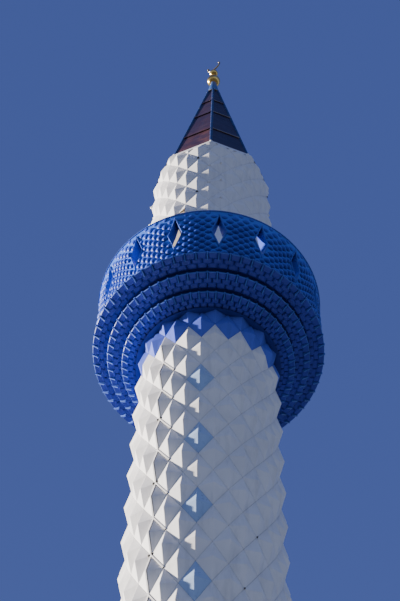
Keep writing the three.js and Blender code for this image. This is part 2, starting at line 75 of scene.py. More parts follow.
STEM_TOP = BLUE_LINE + 13.925
CRESCENT_RADIUS = 0.185
SEED = 7

random.seed(SEED)


# Mesh helpers

SHARP_ANGLE = 38
BAR_TOP_SHARE = 0.86
BAR_SINK = 0.004
WELD = 1e-5


class Shape:
    """Points, faces and a finish number for each face, gathered before they become a mesh."""

    def __init__(self):
        self.points = []
        self.faces = []
        self.finishes = []

    def point(self, place):
        self.points.append(tuple(place))
        return len(self.points) - 1

    def face(self, corners, finish=0):
        self.faces.append(tuple(corners))
        self.finishes.append(finish)

    def patch(self, places, finish=0):
        self.face([self.point(place) for place in places], finish)

    def grid(self, rows, finish=0, closed=False):
        """Joins rows of points into quads. A closed grid joins each row's end to its start."""
        numbers = [[self.point(place) for place in row] for row in rows]
        for near, far in zip(numbers, numbers[1:]):
            count = len(near)
            for i in range(count if closed else count - 1):
                j = (i + 1) % count
                self.face([near[i], near[j], far[j], far[i]], finish)
        return numbers

    def close(self, ring, place, finish=0):
        """Closes a ring of point numbers with triangles to one tip."""
        tip = self.point(place)
        for i, number in enumerate(ring):
            self.face([number, ring[(i + 1) % len(ring)], tip], finish)

    def to_mesh(self, name):
        mesh = bpy.data.meshes.new(name)
        mesh.from_pydata(self.points, [], self.faces)
        for polygon, finish in zip(mesh.polygons, self.finishes):
            polygon.material_index = finish
        return mesh


def make_piece(name, shape, materials, flat=False, replaces=(), merge=0.0):
    """Makes a piece of a shape. Smooth unless flat, with sharp edges kept."""
    mesh = shape.to_mesh(name)
    for polygon in mesh.polygons:
        polygon.use_smooth = not flat
    if merge:
        weld(mesh, merge)
    if not flat:
        mesh.set_sharp_from_angle(angle=math.radians(SHARP_ANGLE))
    place_piece(name, mesh, materials, replaces)


def weld(mesh, distance):
    work = bmesh.new()
    work.from_mesh(mesh)
    bmesh.ops.remove_doubles(work, verts=work.verts, dist=distance)
    work.to_mesh(mesh)
    work.free()


def place_piece(name, mesh, materials, replaces):
    for material in materials:
        mesh.materials.append(material)
    mesh.update()
    piece = add_object(name, mesh)
    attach(piece, "root")
    if replaces:
        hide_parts(*replaces)


def add_object(name, data):
    made = bpy.data.objects.new(name, data)
    bpy.context.scene.collection.objects.link(made)
    return made


def polar(radius, degrees, height):
    angle = math.radians(degrees)
    return Vector((radius * math.cos(angle), radius * math.sin(angle), height))


def outward(place):
    return Vector((place[0], place[1], 0)).normalized()


def lathe(shape, profile, sides, finish=0, turn=0.0):
    """Turns radius and height pairs about the tower's axis."""
    rows = []
    for radius, height in profile:
        rows.append([polar(radius, turn + 360 * i / sides, height) for i in range(sides)])
    return shape.grid(rows, finish, closed=True)


def swept_bar(shape, path, half_width, height, finish):
    """A flat bar with a raised face that follows a path of points on the tower."""
    rows = []
    for i, place in enumerate(path):
        before = path[max(i - 1, 0)]
        after = path[min(i + 1, len(path) - 1)]
        along = (after - before).normalized()
        normal = outward(place)
        side = along.cross(normal).normalized() * half_width
        raised = normal * height
        rows.append([
            place - side - normal * BAR_SINK,
            place - side * BAR_TOP_SHARE + raised,
            place + side * BAR_TOP_SHARE + raised,
            place + side - normal * BAR_SINK,
        ])
    shape.grid(rows, finish)
    shape.patch(rows[0][::-1], finish)
    shape.patch(rows[-1], finish)


def dome(shape, centre, normal, radius, height, finish=0, sides=8, levels=3):
    """A low round head, such as a bolt, screw or rivet."""
    first = normal.orthogonal().normalized()
    second = normal.cross(first)
    rows = []
    for level in range(levels):
        lift = math.sin(math.pi / 2 * level / levels)
        spread = math.cos(math.pi / 2 * level / levels)
        row = []
        for i in range(sides):
            angle = 2 * math.pi * i / sides
            flat = first * math.cos(angle) + second * math.sin(angle)
            row.append(centre + flat * radius * spread + normal * height * lift)
        rows.append(row)
    numbers = shape.grid(rows, finish, closed=True)
    shape.close(numbers[-1], centre + normal * height, finish)


def blend(first, second, share):
    """The place between two pairs of numbers."""
    return tuple(one + (two - one) * share for one, two in zip(first, second))


def around(items):
    """Each item with the next one, and the last with the first."""
    return zip(items, items[1:] + items[:1])


# Material helpers

NOISE_ROUGHNESS = 0.55
DARK_STOP = 0.3
LIGHT_STOP = 0.7


def scaled(colour, factor):
    return tuple(min(part * factor, 1.0) for part in colour)


class Nodes:
    """A short way to add and join the nodes of a material, or of the world."""

    def __init__(self, name, owners=bpy.data.materials):
        self.owner = owners.new(name)
        self.owner.use_nodes = True
        self.tree = self.owner.node_tree
        self.shader = self.tree.nodes.get("Principled BSDF")

    def put(self, socket, value):
        """Joins a source to a socket, or sets the socket's value."""
        if isinstance(value, bpy.types.NodeSocket):
            self.tree.links.new(value, socket)
        else:
            socket.default_value = value

    def add(self, kind, inputs=None, **settings):
        node = self.tree.nodes.new(kind)
        for name, value in settings.items():
            setattr(node, name, value)
        for name, value in (inputs or {}).items():
            self.put(node.inputs[name], value)
        return node

    def place(self, name="Object"):
        return self.add("ShaderNodeTexCoord").outputs[name]

    def noise(self, size, detail=3, scale=(1, 1, 1)):
        mapping = self.add("ShaderNodeMapping", {"Vector": self.place(), "Scale": scale})
        source = mapping.outputs["Vector"]
        inputs = {"Vector": source, "Scale": size, "Detail": detail, "Roughness": NOISE_ROUGHNESS}
        return self.add("ShaderNodeTexNoise", inputs).outputs["Fac"]

    def ramp(self, source, stops):
        ramp = self.add("ShaderNodeValToRGB", {"Fac": source})
        elements = ramp.color_ramp.elements
        while len(elements) < len(stops):
            elements.new(0.5)
        for element, (position, colour) in zip(elements, stops):
            element.position = position
            element.color = (*colour, 1)
        return ramp.outputs["Color"]

    def tones(self, source, dark, light, start=DARK_STOP, end=LIGHT_STOP):
        return self.ramp(source, [(start, dark), (end, light)])

    def span(self, source, low, high, start=0.0, end=1.0):
        """Maps the range from start to end onto low to high."""
        inputs = {"Value": source, "From Min": start, "From Max": end, "To Min": low, "To Max": high}
        return self.add("ShaderNodeMapRange", inputs).outputs["Result"]

    def mix(self, share, first, second):
        """Mixes two colours. The second may be plain."""
        if isinstance(second, tuple):
            second = (*second, 1)
        inputs = {0: share, 6: first, 7: second}
        return self.add("ShaderNodeMix", inputs, data_type="RGBA").outputs[2]

    def product(self, first, second):
        return self.add("ShaderNodeMath", {0: first, 1: second}, operation="MULTIPLY").outputs[0]

    def axis(self, source, name):
        return self.add("ShaderNodeSeparateXYZ", {"Vector": source}).outputs[name]

    def facing(self, name):
        return self.axis(self.add("ShaderNodeNewGeometry").outputs["Normal"], name)

    def occlusion(self, distance):
        return self.add("ShaderNodeAmbientOcclusion", {"Distance": distance}, samples=4).outputs["AO"]

    def shade(self, name, value):
        """Joins a source to an input of the surface shader, or sets the input."""
        self.put(self.shader.inputs[name], value)

    def colour(self, source):
        self.shade("Base Color", source)

    def rough(self, size, low, high, detail=3):
        """Roughness that wanders between two values."""
        self.shade("Roughness", self.span(self.noise(size, detail), low, high))

    def height(self, *layers):
        """Bumps from pairs of a height source and a depth in metres."""
        below = {}
        for source, depth in layers:
            bump = self.add("ShaderNodeBump", {"Height": source, "Distance": depth, **below})
            below = {"Normal": bump.outputs["Normal"]}
        self.shade("Normal", below["Normal"])


def painted_sheet(name, colour, roughness, dirt_and_shade_colour):
    """Painted folded sheet: slow colour drift, rain streaks of dirt, painted shade in the creases, slightly
    wavy faces.
    """
    nodes = Nodes(name)
    drift = nodes.tones(nodes.noise(1.3, 4), scaled(colour, 0.93), scaled(colour, 1.05))
    streaks = nodes.span(nodes.noise(9, 4, (1, 1, 0.08)), 0.0, 0.35, 0.5, 0.8)
    streaked = nodes.mix(streaks, drift, dirt_and_shade_colour)
    # Painted shade: darker towards the dirt colour where ambient occlusion finds creases and valleys.
    crease_shade = nodes.span(nodes.occlusion(0.12), 0.34, 0.0, 0.35, 0.85)
    nodes.colour(nodes.mix(crease_shade, streaked, dirt_and_shade_colour))
    nodes.rough(14, roughness - 0.07, roughness + 0.1)
    nodes.height((nodes.noise(2.2, 1), 0.010), (nodes.noise(60, 2), 0.0004))
    return nodes.owner


def cast_blue(name, colour, shade_colour, shade, under=0.0, shine=0.2):
    """Moulded blue panels: chalky high spots, painted shade in the hollows and on the undersides, fine
    pitted skin.
    """
    nodes = Nodes(name)
    drift = nodes.tones(nodes.noise(2.1, 5), scaled(colour, 0.86), scaled(colour, 1.16), end=0.72)
    # Painted shade: mixed towards the shade colour where ambient occlusion finds hollows.
    shaded = nodes.mix(nodes.span(nodes.occlusion(0.10), shade, 0.0, 0.2, 0.8), drift, shade_colour)
    if under:
        # Painted shade on the surfaces that face down.
        underside_shade_mask = nodes.span(nodes.facing("Z"), under, 0.0, -0.85, -0.15)
        shaded = nodes.mix(underside_shade_mask, shaded, shade_colour)
    nodes.colour(shaded)
    nodes.rough(22, 0.30, 0.44)
    nodes.height((nodes.noise(35, 3), 0.0008), (nodes.noise(160, 2), 0.0003))
    nodes.shade("Specular IOR Level", shine)
    return nodes.owner


def mottled(name, dark, light, tone_noise, rough, bump, metallic=0.0):
    """Two tones in noise. rough gives the noise size and range, and bump the size, detail and depth."""
    nodes = Nodes(name)
    nodes.colour(nodes.tones(nodes.noise(*tone_noise), dark, light))
    nodes.rough(*rough)
    size, detail, depth = bump
    nodes.height((nodes.noise(size, detail), depth))
    nodes.shade("Metallic", metallic)
    return nodes.owner


def plain_noise(name, dark, light, size, roughness, depth, metallic=0.0):
    """Mottled, with finer noise for the roughness and the bump."""
    rough = (size * 3, roughness - 0.08, roughness + 0.08)
    return mottled(name, dark, light, (size, 5), rough, (size * 4, 4, depth), metallic)


# The last colour of each painted sheet serves both its rain streaks and its painted crease shade.
white = painted_sheet("white_paint", (0.89, 0.87, 0.85), 0.42, (0.42, 0.41, 0.39))
blue = painted_sheet("blue_paint", (0.100, 0.145, 0.64), 0.36, (0.02, 0.05, 0.16))
pale_blue = painted_sheet("pale_blue_paint", (0.42, 0.56, 0.80), 0.28, (0.12, 0.18, 0.34))
# In the blue castings the second colour is a painted shade, laid into hollows by the share that follows.
casting = cast_blue("blue_casting", (0.056, 0.084, 0.53), (0.010, 0.020, 0.15), 0.70)
# A darker copy of the blue casting for the roofs and closing ring behind the corbels: painted shade.
shaded_hollow_casting = cast_blue("shaded_hollow_casting", (0.028, 0.050, 0.30), (0.012, 0.024, 0.16), 0.50)
# The parapet relief's casting also takes painted shade on its undersides.
panel_casting = cast_blue("parapet_casting", (0.070, 0.135, 0.66), (0.012, 0.030, 0.24), 0.42, 0.90, 0.12)
# The wall's casting takes strong painted shade near the feet of the relief.
wall_casting = cast_blue("wall_casting", (0.080, 0.200, 0.74), (0.014, 0.040, 0.30), 0.70, shine=0.12)
# A lighter copy of the blue casting for the lips, hanging joints, frame faces and coping: a painted
# highlight.
edge_highlight_casting = cast_blue("edge_highlight_casting", (0.090, 0.160, 0.56), (0.04, 0.08, 0.36), 0.20)
# Near-black strips standing in for shadow: beside the seams' cover strips and under the cap.
shadow_strip_dark = plain_noise("painted_shadow_strip", (0.13, 0.12, 0.11), (0.30, 0.28, 0.26), 12, 0.7, 0.001)
stud_white = plain_noise("stud_white", (0.90, 0.90, 0.90), (0.97, 0.97, 0.97), 20, 0.2, 0.0003)
bolt_steel = plain_noise("bolt_steel", (0.06, 0.055, 0.05), (0.16, 0.15, 0.14), 40, 0.5, 0.0005, 0.7)
raw_edge = plain_noise("raw_edge", (0.30, 0.23, 0.15), (0.62, 0.53, 0.39), 7, 0.85, 0.006)


# The diamond cladding

# Each facet stops short of its ridges and of its outer edge, which turns in by the skirt
RIDGE = 0.005
VALLEY = 0.0018
SKIRT = 0.014
BACKING = 0.030
LOWEST_LEVEL = -50
HIGHEST_LEVEL = 3
UPPER_LEVELS = 22
PALE_COLUMNS = (-5, 11)
PALE_FIRST = -4
PALE_SPACING = 4
BLUE_LAP = 0.06
CUT_CLEARANCE = 0.001
FINISH_WHITE = 0
FINISH_BLUE = 1
FINISH_PALE = 2
FINISH_CUT = 3


def is_node(column, level):
    return (column + level) % 2 == 0


def lattice_point(lattice, column, level):
    radius = lattice["node"] if is_node(column, level) else lattice["apex"]
    height = lattice["origin"] + level * lattice["level"]
    return polar(radius, 360 * column / COLUMNS + lattice["turn"], height)


def inset(corner, along_edge, along_ridge):
    """A facet corner moved in from the outer edge and from the ridge."""
    edge = (along_edge - corner).normalized()
    ridge = (along_ridge - corner).normalized()
    sine = edge.cross(ridge).length
    return corner + ridge * (VALLEY / sine) + edge * (RIDGE / sine)


def inset_tip(apex, first, second):
    """The facet's tip, moved in from both ridges."""
    one = (first - apex).normalized()
    two = (second - apex).normalized()
    return apex + (one + two) * (RIDGE / one.cross(two).length)


def add_diamond(shape, lattice, column, level, finish):
    """One folded pyramid: four facets, softened ridges, a turned-in edge and a closed back."""
    apex = lattice_point(lattice, column, level)
    steps = ((0, 1), (-1, 0), (0, -1), (1, 0))
    corners = [lattice_point(lattice, column + right, level + up) for right, up in steps]
    out = outward(apex)
    back = shape.point(Vector((0, 0, apex.z)) + out * (lattice["node"] - BACKING))
    sides = []
    for here, there in around(corners):
        start = inset(here, there, apex)
        end = inset(there, here, apex)
        places = (inset_tip(apex, here, there), start, end, start - out * SKIRT, end - out * SKIRT)
        sides.append([shape.point(place) for place in places])
    shape.face([side[0] for side in sides], finish)
    for last, this in zip(sides[-1:] + sides, sides):
        last_tip, _, last_end, _, last_end_back = last
        tip, start, end, start_back, end_back = this
        shape.face([tip, start, end], finish)
        shape.face([last_tip, last_end, start, tip], finish)
        shape.face([start, start_back, end_back, end], finish)
        shape.face([last_end, last_end_back, start_back, start], finish)
        shape.face([start_back, back, end_back], finish)
        shape.face([last_end_back, back, start_back], finish)


def clip(work, place, normal, finish):
    """Removes what lies beyond a plane and closes the cut with the given finish."""
    geometry = list(work.verts) + list(work.edges) + list(work.faces)
    cut = bmesh.ops.bisect_plane(
        work, geom=geometry, dist=1e-6, plane_co=place, plane_no=normal, clear_outer=True
    )
    edges = [part for part in cut["geom_cut"] if isinstance(part, bmesh.types.BMEdge)]
    filled = bmesh.ops.holes_fill(work, edges=edges, sides=0)
    for face in filled["faces"]:
        face.material_index = finish


def to_work(shape):
    mesh = shape.to_mesh("work")
    work = bmesh.new()
    work.from_mesh(mesh)
    bpy.data.meshes.remove(mesh)
    return work


def add_work(work, extra):
    """Moves one work mesh into another."""
    mesh = bpy.data.meshes.new("work")
    extra.to_mesh(mesh)
    extra.free()
    work.from_mesh(mesh)
    bpy.data.meshes.remove(mesh)


def from_work(name, work, materials, replaces):
    bmesh.ops.recalc_face_normals(work, faces=work.faces)
    mesh = bpy.data.meshes.new(name)
    work.to_mesh(mesh)
    work.free()
    place_piece(name, mesh, materials, replaces)


def lower_finish(column, level):
    if level >= 0:
        return FINISH_BLUE
    if column in PALE_COLUMNS and (level - PALE_FIRST) % PALE_SPACING == 0:
        return FINISH_PALE
    return FINISH_WHITE


def diamonds(lattice, levels, finish_at):
    """All of a lattice's diamonds at the given levels."""
    shape = Shape()
    for column in range(-COLUMNS // 2, COLUMNS // 2):
        for level in levels:
            if not is_node(column, level):
                add_diamond(shape, lattice, column, level, finish_at(column, level))
    return shape


def build_lower_cladding():
    work = to_work(diamonds(LOWER, range(LOWEST_LEVEL, HIGHEST_LEVEL + 1), lower_finish))
    clip(work, (0, 0, PLINTH_TOP), (0, 0, -1), FINISH_WHITE)
    clip(work, (0, 0, CORBEL_FOOT + BLUE_LAP), (0, 0, 1), FINISH_BLUE)
    replaced = ["blue_cladding"] + [f"shaft_cladding_{i}" for i in range(1, 6)]
    from_work("shaft_cladding", work, [white, blue, pale_blue], replaced)


FACE_TURN = 360 / SPIRE_FACES
SHOULDER_FLAT = SHOULDER_RADIUS * math.cos(math.pi / SPIRE_FACES)
SHOULDER_FALL = SHOULDER_SLOPE * math.cos(math.pi / SPIRE_FACES)
SHOULDER_LAP = 0.012
LEAST_DROP = 0.02
WORN_EDGE = 0.03
WEAR = 0.012


def face_middle(index):
    return SPIRE_TURN + FACE_TURN / 2 + FACE_TURN * index


def shoulder_planes():
    planes = []
    for i in range(SPIRE_FACES):
        place = polar(SHOULDER_FLAT, face_middle(i), EAVE)
        normal = (outward(place) + Vector((0, 0, SHOULDER_FALL))).normalized()
        planes.append((place, normal))
    return planes


def add_shoulders(shape):
    """The flat sheets between the spire's foot and the folded cladding, with worn lower edges."""
    steps = 16
    for i in range(SPIRE_FACES):
        rows = [[], [], [], []]
        for k in range(steps + 1):
            turn = FACE_TURN * (k / steps - 0.5)
            cosine = math.cos(math.radians(turn))
            reach = (UPPER["node"] + SHOULDER_LAP) * cosine - SHOULDER_FLAT
            drop = max(reach, LEAST_DROP) / SHOULDER_FALL
            ragged = random.uniform(-WEAR, WEAR)
            falls = (0.0, drop * 0.55, drop - WORN_EDGE + ragged, drop + ragged)
            for row, fall in zip(rows, falls):
                radius = (SHOULDER_FLAT + SHOULDER_FALL * fall) / cosine - 0.003
                row.append(polar(radius, face_middle(i) + turn, EAVE - fall))
        shape.grid(rows[:3], FINISH_WHITE)
        shape.grid(rows[2:], FINISH_CUT)


RIGHT_JAMB = (DOORWAY_HALF_WIDTH, 0, 0)
LEFT_JAMB = (-DOORWAY_HALF_WIDTH, 0, 0)
BETWEEN_JAMBS = ((RIGHT_JAMB, (1, 0, 0)), (LEFT_JAMB, (-1, 0, 0)))
# The planes that leave the cladding right of the doorway, left of it, on the far side and over it
DOORWAY_CUTS = (
    ((RIGHT_JAMB, (-1, 0, 0)),),
    ((LEFT_JAMB, (1, 0, 0)),),
    (*BETWEEN_JAMBS, ((0, 0, 0), (0, -1, 0))),
    (*BETWEEN_JAMBS, ((0, 0, 0), (0, 1, 0)), ((0, 0, DOORWAY_HEAD), (0, 0, -1))),
)


def build_upper_cladding():
    """The cladding above the balcony, made in four parts so that the doorway stays open."""
    shape = diamonds(UPPER, range(UPPER_LEVELS), lambda column, level: FINISH_WHITE)
    work = bmesh.new()
    for cuts in DOORWAY_CUTS:
        part = to_work(shape)
        clip(part, (0, 0, BALCONY_FLOOR + CUT_CLEARANCE), (0, 0, -1), FINISH_WHITE)
        clip(part, (0, 0, EAVE - CUT_CLEARANCE), (0, 0, 1), FINISH_CUT)
        for place, normal in shoulder_planes():
            clip(part, place, normal, FINISH_WHITE)
        for place, normal in cuts:
            clip(part, place, normal, FINISH_CUT)
        add_work(work, part)
    shoulders = Shape()
    add_shoulders(shoulders)
    add_work(work, to_work(shoulders))
    names = [f"upper_cladding_{part}" for part in ("foot", "middle", "head")]
    materials = [white, white, white, raw_edge]
    from_work("balcony_cladding", work, materials, names)


# Thin raised seams, bolts and rivets on the cladding

SEAM_COLUMNS = (-8, 8)
# The dark strip under each cover strip is wider than it, so that a painted shadow line shows on both sides.
SHADOW_STRIP_HALF_WIDTH = 0.018
SHADOW_STRIP_HEIGHT = 0.003
COVER_HALF_WIDTH = 0.012
COVER_HEIGHT = 0.011
RIDGE_SINK = 0.004
VALLEY_LIFT = 0.008
WASHER_RADIUS = 0.026
BOLT_RADIUS = 0.016
BOLT_SPREAD = 0.028
# Column and level of the small single bolts on the lower cladding
LONE_BOLTS = ((-1, -13), (-2, -16), (15, -13), (14, -16))
LONE_BOLT_SIZE = 0.55
# Columns and levels of the upper cladding's bright caps, with their sink, radius and height
RIVETS = (
    ((-4, 4, 12, -12), (11, 13, 15), 0.006, 0.030, 0.036),
    ((-5, 3, 11, -13), (13, 15), 0.0, 0.036, 0.030),
)


def seam_paths():
    """The joint lines: up the ridges of each seam column, and down each valley to its right."""
    paths = []
    for column in SEAM_COLUMNS:
        spine = [lattice_point(LOWER, column, level) for level in range(LOWEST_LEVEL, 0)]
        paths.append([place - outward(place) * RIDGE_SINK for place in spine])
        for level in range(LOWEST_LEVEL + 1, 0):
            if is_node(column, level):
                valley = (lattice_point(LOWER, column, level), lattice_point(LOWER, column + 1, level - 1))
                paths.append([place + outward(place) * VALLEY_LIFT for place in valley])
    return paths


def build_seams():
    """A dark strip in each joint, a painted shadow either side of the white cover strip on it."""
    shape = Shape()
    for path in seam_paths():
        swept_bar(shape, path, SHADOW_STRIP_HALF_WIDTH, SHADOW_STRIP_HEIGHT, 0)
        swept_bar(shape, path, COVER_HALF_WIDTH, COVER_HEIGHT, 1)
    make_piece("cladding_seams", shape, [shadow_strip_dark, white], flat=True)


def bolt_pair(shape, place, spread, size=1.0):
    """Two washers with bolt heads, side by side at the given spread. At none they coincide."""
    normal = outward(place)
    side = Vector((0, 0, 1)).cross(normal)
    for offset in (-spread, spread):
        centre = place + side * offset + normal * 0.012
        dome(shape, centre, normal, WASHER_RADIUS * size, 0.006)
        dome(shape, centre + normal * 0.005, normal, BOLT_RADIUS * size, 0.016, sides=6)


def build_bolts():
    shape = Shape()
    for column in SEAM_COLUMNS:
        for level in range(LOWEST_LEVEL + 4, -5, 4):
            bolt_pair(shape, lattice_point(LOWER, column, level), BOLT_SPREAD)
    for column, level in LONE_BOLTS:
        bolt_pair(shape, lattice_point(LOWER, column, level), 0.0, LONE_BOLT_SIZE)
    for column in (-6, -14, 2, 10):
        for level in (12, 16):
            bolt_pair(shape, lattice_point(UPPER, column, level), 0.0)
    make_piece("cladding_bolts", shape, [bolt_steel])


def build_rivets():
    """Small bright caps on some tips and valley points of the upper cladding."""
    shape = Shape()
    for columns, levels, sink, radius, height in RIVETS:
        for column in columns:
            for level in levels:
                place = lattice_point(UPPER, column, level)
                out = outward(place)
                dome(shape, place - out * sink, out, radius, height)
    make_piece("cladding_rivets", shape, [stud_white])


# The corbels under the balcony

CELLS = 64
CELL_STEPS = 14
TIERS = 3
TIER_FOOT = BLUE_LINE + 0.430
TIER_RISE = 0.205
TIER_REACH = 0.256
LOWEST_RIM = 1.438
LIP_HEIGHT = 0.040
LIP_LEDGE = 0.050
PARAPET_WALL = 1.893
WALL_FOOT = BLUE_LINE + 0.868
# Finish of the lips and hanging joints, in the lighter casting: painted highlight.
EDGE_HIGHLIGHT = 1
# Finish of the roofs behind the cells, in the darker casting: painted shade.
SHADED_HOLLOW = 2
# Each ring of cells: start and end inward of the rim, their levels against the rim's foot, and the
# height of the joints
OUTER_RING = (0.0, 0.104, 0.0, -0.026, 0.030)
MIDDLE_RING = (0.084, 0.190, -0.016, -0.042, 0.034)
INNER_RING = (0.166, 0.262, -0.036, -0.060, 0.030)
# At shares of a cell's way inward: its flat share across, and how far its end is rounded up
OUTER_FORM = ((0.0, 0.50, 0.0), (0.75, 0.60, 0.0), (1.0, 0.50, 0.90))
BACK_FORM = ((0.0, 0.40, 0.75), (0.22, 0.60, 0.0), (0.75, 0.60, 0.0), (1.0, 0.45, 0.90))
# The joint between two outer cells: distance inward of the rim, and depth below the cells
FIN_LINE = ((-0.020, -0.006), (0.0, 0.006), (0.088, 0.062), (0.104, 0.006))
FIN_HALF_WIDTH = 0.013
FIN_ROOT = 0.034
# The roof behind the cells: distance inward of the rim, and level against the rim's foot
ROOF_LINE = ((0.02, 0.040), (0.08, 0.026), (0.15, 0.012), (0.24, -0.010))
ROOF_REACH = 0.300


def form_at(form, inward):
    """The flat share and end rounding at a share of a cell's way inward."""
    for near_end, far_end in zip(form, form[1:]):
        if inward <= far_end[0]:
            share = (inward - near_end[0]) / (far_end[0] - near_end[0])
            return blend(near_end[1:], far_end[1:], share)
    return form[-1][1:]


def cell_line(form, ring, inward, rim, foot, middle):
    """One line across the underside of a cell, with points closer together near the joints."""
    near_end, far_end, near_level, far_level, rise = ring
    flat, end = form_at(form, inward)
    radius = rim - near_end - (far_end - near_end) * inward
    height = foot + near_level + (far_level - near_level) * inward
    half_pitch = 180 / CELLS
    line = []
    for i in range(CELL_STEPS + 1):
        share = 2 * i / CELL_STEPS - 1
        across = abs(share) ** 0.7
        side = max(across - flat, 0.0) / (1 - flat)
        lift = rise * min(side ** 2 + end ** 2, 1.0)
        turn = math.copysign(across, share) * half_pitch
        line.append(polar(radius, middle + turn, height + lift))
    return line


def corbel_cell(form, ring, rim, foot, middle):
    steps = 9
    return [cell_line(form, ring, k / steps, rim, foot, middle) for k in range(steps + 1)]


def lifted(line, rise, step_out=0.0):
    return [place + outward(place) * step_out + Vector((0, 0, rise)) for place in line]


def add_fin(shape, rim, foot, azimuth):
    """The narrow hanging joint between two outer cells, deeper inward than at the rim."""
    slope = OUTER_RING[3] / OUTER_RING[1]
    rows = []
    for inward, depth in FIN_LINE:
        radius = rim - inward
        half = math.degrees(FIN_HALF_WIDTH / radius)
        level = foot + slope * max(inward, 0.0)
        rows.append([
            polar(radius, azimuth - half, level + FIN_ROOT),
            polar(radius, azimuth - half * 0.7, level - depth),
            polar(radius, azimuth + half * 0.7, level - depth),
            polar(radius, azimuth + half, level + FIN_ROOT),
        ])
    # The joint, in the lighter casting: painted highlight.
    shape.grid(rows, EDGE_HIGHLIGHT)
    shape.patch(rows[0][::-1], EDGE_HIGHLIGHT)


def add_lip(shape, line, ledge):
    """The tier's thin outer lip, with a ledge and an upstand behind it."""
    bead = lifted(line, LIP_HEIGHT * 0.4, 0.008)
    head = lifted(line, LIP_HEIGHT)
    inside = lifted(head, 0.0, -ledge)
    back = lifted(inside, 0.060)
    shape.grid([back, inside, head])
    # The lip's front, in the lighter casting: painted highlight.
    shape.grid([head, bead, line], EDGE_HIGHLIGHT)


def build_tier(shape, number):
    """A lip with three staggered rings of square cells behind it, the outer ones with hanging joints."""
    rim = LOWEST_RIM + TIER_REACH * number
    foot = TIER_FOOT + TIER_RISE * number
    top = number == TIERS - 1
    ledge = rim - PARAPET_WALL + 0.004 if top else LIP_LEDGE
    for cell in range(CELLS):
        middle = BALCONY_TURN + (cell + 0.5) * 360 / CELLS
        between = BALCONY_TURN + cell * 360 / CELLS
        under = corbel_cell(OUTER_FORM, OUTER_RING, rim, foot, middle)
        add_lip(shape, under[0], ledge)
        shape.grid(under)
        add_fin(shape, rim, foot, between)
        shape.grid(corbel_cell(BACK_FORM, MIDDLE_RING, rim, foot, between))
        shape.grid(corbel_cell(BACK_FORM, INNER_RING, rim, foot, middle))
    hidden = max(rim - ROOF_REACH, CORE_RADIUS)
    roof = [(rim - inward, foot + level) for inward, level in ROOF_LINE]
    roof.append((hidden, foot - 0.025))
    if number:
        roof.append((hidden, foot - TIER_RISE + 0.030))
    # The roof, in the darker casting: painted shade.
    lathe(shape, roof, CELLS, SHADED_HOLLOW)


def build_corbels():
    shape = Shape()
    for number in range(TIERS):
        build_tier(shape, number)
    closing = TIER_FOOT - 0.085
    # The closing ring, in the darker casting: painted shade.
    lathe(shape, [(LOWEST_RIM - 0.225, closing), (CORE_RADIUS - 0.01, closing)], CELLS, SHADED_HOLLOW)
    names = [f"corbel_band_{i}" for i in (1, 2, 3)]
    materials = [casting, edge_highlight_casting, shaded_hollow_casting]
    make_piece("corbels", shape, materials, replaces=names, merge=WELD)


# The parapet's relief, lozenge frames and coping

RELIEF_ROWS = 14
RELIEF_STEP = 0.106
RELIEF_FIRST = BLUE_LINE + 0.955
RELIEF_HALF_TURN = 0.75 * 180 / CELLS
RELIEF_HALF_HEIGHT = 0.072
# Share of the bump's outline and height over the wall
RELIEF_RINGS = ((1.0, -0.004), (0.92, 0.014), (0.74, 0.033), (0.48, 0.047), (0.22, 0.054))
RELIEF_HEIGHT = 0.056
RELIEF_SIDES = 12
RELIEF_CURVE = 1.5
# A bump whose lozenge share is below these is left out or made small
RELIEF_CLEAR = 1.15
RELIEF_TIGHT = 1.6
FRAME_HALF_WIDTH = 0.134
FRAME_HALF_HEIGHT = 0.560
HOLE_HALF_WIDTH = 0.117
HOLE_HALF_HEIGHT = 0.485
WALL_THICKNESS = 0.160
COPING_FOOT = PARAPET_TOP - 0.032
FLARE = 0.058
FLARE_HEIGHT = 0.45
LOZENGE_AZIMUTHS = [BALCONY_TURN + 360 / LOZENGES * i for i in range(LOZENGES)]


def flare_share(height):
    return max((height - PARAPET_TOP + FLARE_HEIGHT) / FLARE_HEIGHT, 0.0)


def wall_radius(height):
    """The parapet's outer face: upright, with a gentle outward flare at its head."""
    return PARAPET_WALL + FLARE * flare_share(height) ** 1.3


def on_wall(azimuth, height, lift):
    return polar(wall_radius(height) + lift, azimuth, height)


def outline_on_wall(outline, azimuth, lift):
    return [on_wall(azimuth + turn, height, lift) for turn, height in outline]


def relief_bump(shape, azimuth, height, scale):
    """A small rounded diamond cushion on the parapet, flatter where the wall flares."""
    depth = scale * (1 - 0.8 * flare_share(height))
    half_angle = RELIEF_HALF_TURN * scale
    half_height = RELIEF_HALF_HEIGHT * scale
    rows = []
    for spread, lift in RELIEF_RINGS:
        row = []
        for i in range(RELIEF_SIDES):
            angle = 2 * math.pi * i / RELIEF_SIDES
            across = math.cos(angle)
            upward = math.sin(angle)
            curve = abs(across) ** RELIEF_CURVE + abs(upward) ** RELIEF_CURVE
            size = curve ** (-1 / RELIEF_CURVE)
            level = height + half_height * spread * upward * size
            turn = half_angle * spread * across * size
            row.append(on_wall(azimuth + turn, level, lift * depth))
        rows.append(row)
    tip = on_wall(azimuth, height, RELIEF_HEIGHT * depth)
    shape.close(shape.grid(rows, closed=True)[-1], tip)


def lozenge_share(azimuth, height):
    """Below one inside a lozenge frame's outline, measured as a diamond."""
    pitch = 360 / LOZENGES
    turn = (azimuth - BALCONY_TURN + pitch / 2) % pitch - pitch / 2
    across = abs(math.radians(turn)) * PARAPET_WALL / FRAME_HALF_WIDTH
    upward = abs(height - LOZENGE_CENTRE) / FRAME_HALF_HEIGHT
    return across + upward


def relief_scale(row, share):
    if row == RELIEF_ROWS - 1:
        return 0.70
    return 0.80 if share < RELIEF_TIGHT else 1.0


